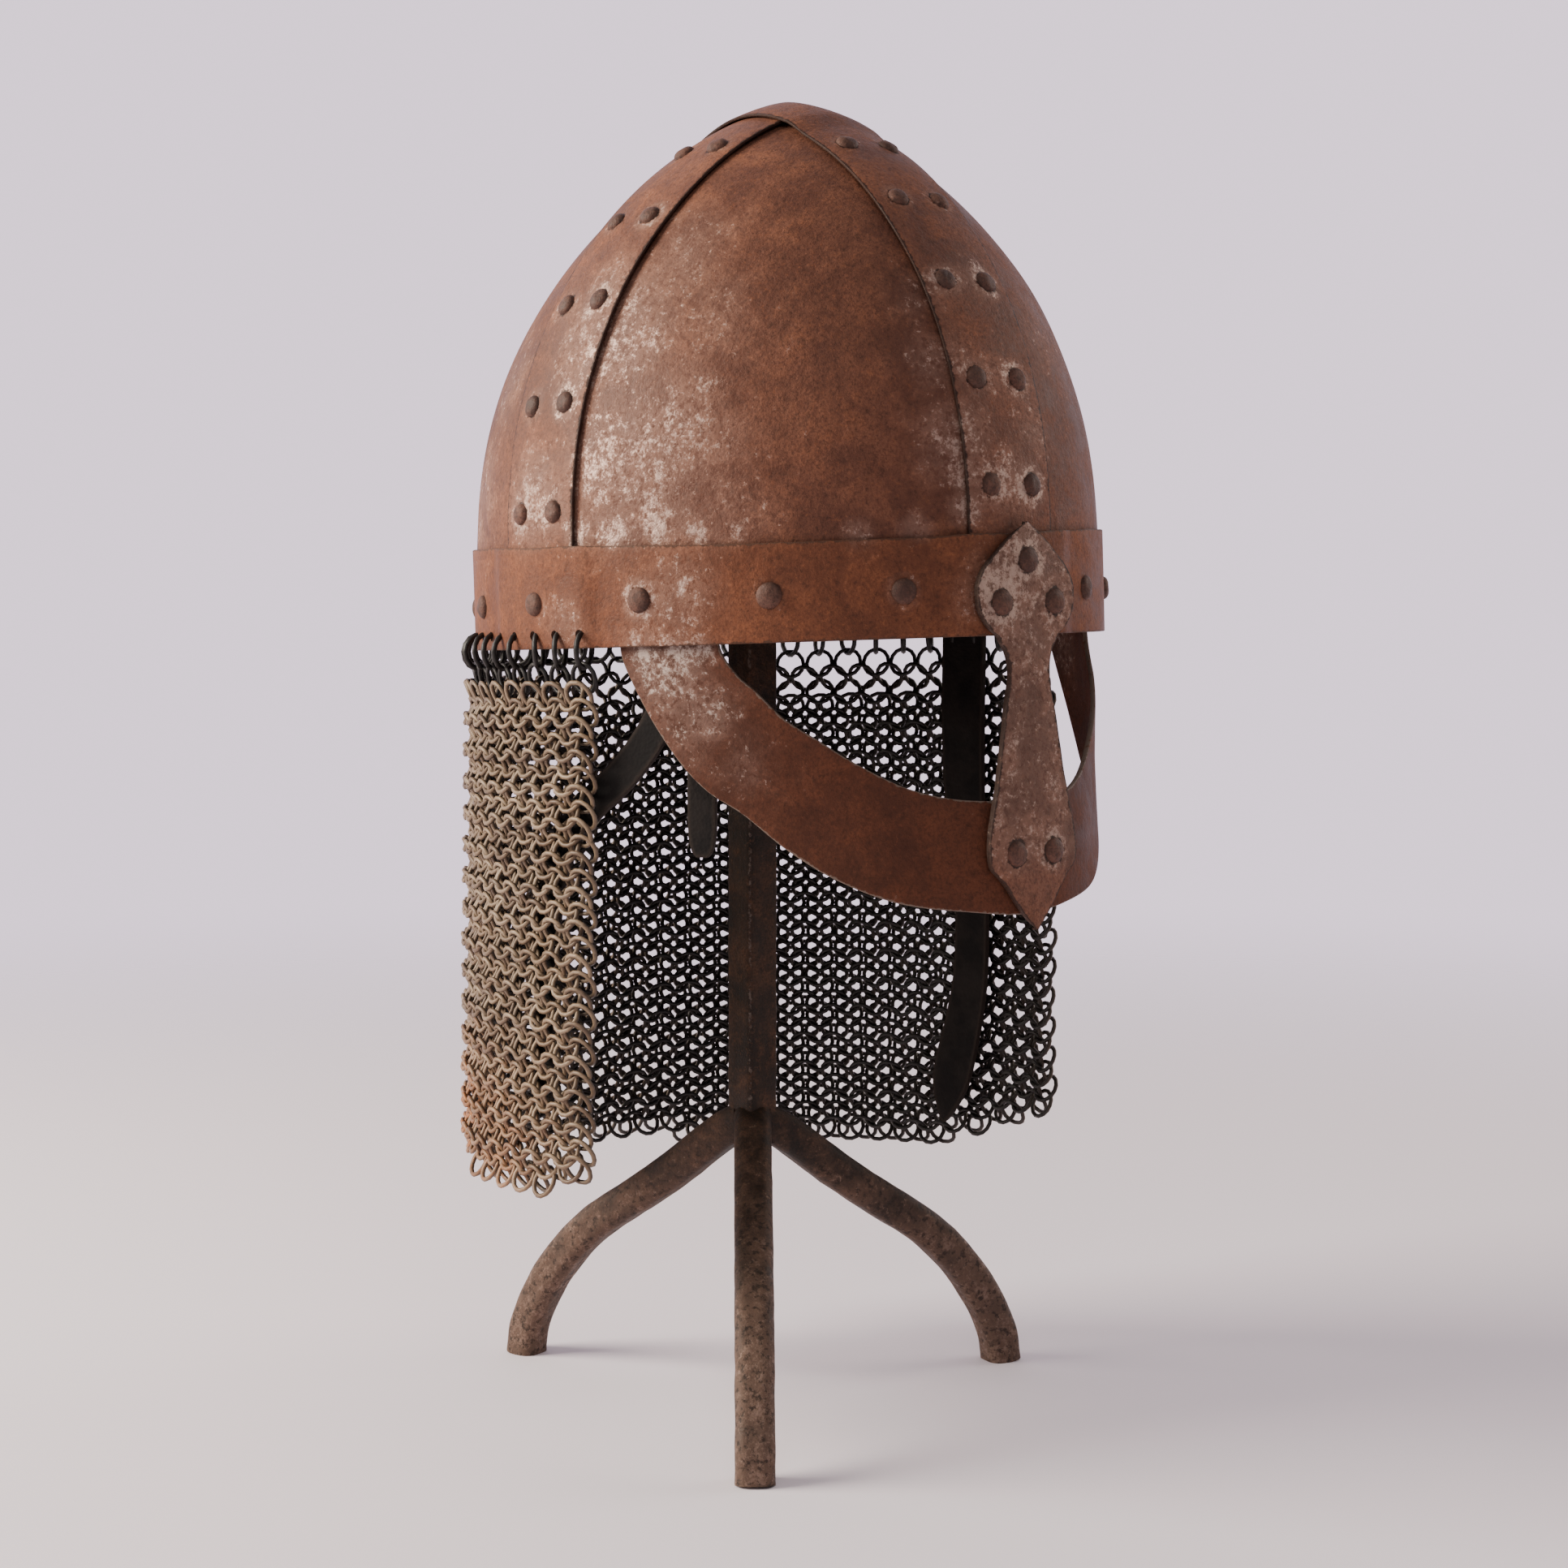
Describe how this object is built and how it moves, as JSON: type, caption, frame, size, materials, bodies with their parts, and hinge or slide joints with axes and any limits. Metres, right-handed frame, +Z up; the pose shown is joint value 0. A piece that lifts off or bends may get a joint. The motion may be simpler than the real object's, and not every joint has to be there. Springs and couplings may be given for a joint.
{
  "type": "iron spectacle helmet with mail curtain on a tripod stand",
  "caption": "Riveted iron helmet with spectacle guard, nasal, mail curtain and leather straps, held on a plain iron tripod stand.",
  "frame": {"origin": "on the floor, under the middle of the object's box", "axes": "+Z up; the helmet's face looks along -Y; the wearer's right is -X"},
  "size_m": [0.2148, 0.239, 0.4432],
  "materials": {
    "panel_iron": "rusted, with worn bare patches",
    "strip_iron": "rusted, worn at the edges",
    "band_iron": "rusted, worn at the edges",
    "rivet_iron": "worn",
    "guard_iron": "rusted, rubbed bare",
    "mail_iron": "tan rust",
    "stand_iron": "dark, with rust and worn edges",
    "leather": "black, matt"
  },
  "bodies": {
    "root": {"panel_right_front": "panel_iron", "panel_right_back": "panel_iron", "panel_left_back": "panel_iron", "panel_left_front": "panel_iron", "ridge_strip": "strip_iron", "side_strip_right": "strip_iron", "side_strip_left": "strip_iron", "brow_band": "band_iron", "band_rivet_01": "rivet_iron", "band_rivet_02": "rivet_iron", "band_rivet_03": "rivet_iron", "band_rivet_04": "rivet_iron", "band_rivet_05": "rivet_iron", "band_rivet_06": "rivet_iron", "band_rivet_07": "rivet_iron", "band_rivet_08": "rivet_iron", "band_rivet_09": "rivet_iron", "band_rivet_10": "rivet_iron", "band_rivet_11": "rivet_iron", "band_rivet_12": "rivet_iron", "band_rivet_13": "rivet_iron", "band_rivet_14": "rivet_iron", "band_rivet_15": "rivet_iron", "nasal_rivet_top": "rivet_iron", "nasal_rivet_upper_right": "rivet_iron", "nasal_rivet_upper_left": "rivet_iron", "nasal_rivet_lower_right": "rivet_iron", "nasal_rivet_lower_left": "rivet_iron", "nasal": "guard_iron", "eye_guard": "guard_iron", "mail_curtain": "mail_iron", "chin_strap_long": "leather", "chin_strap_short": "leather", "chin_strap_tab": "leather", "tripod_stand": "stand_iron"}
  },
  "joints": []
}
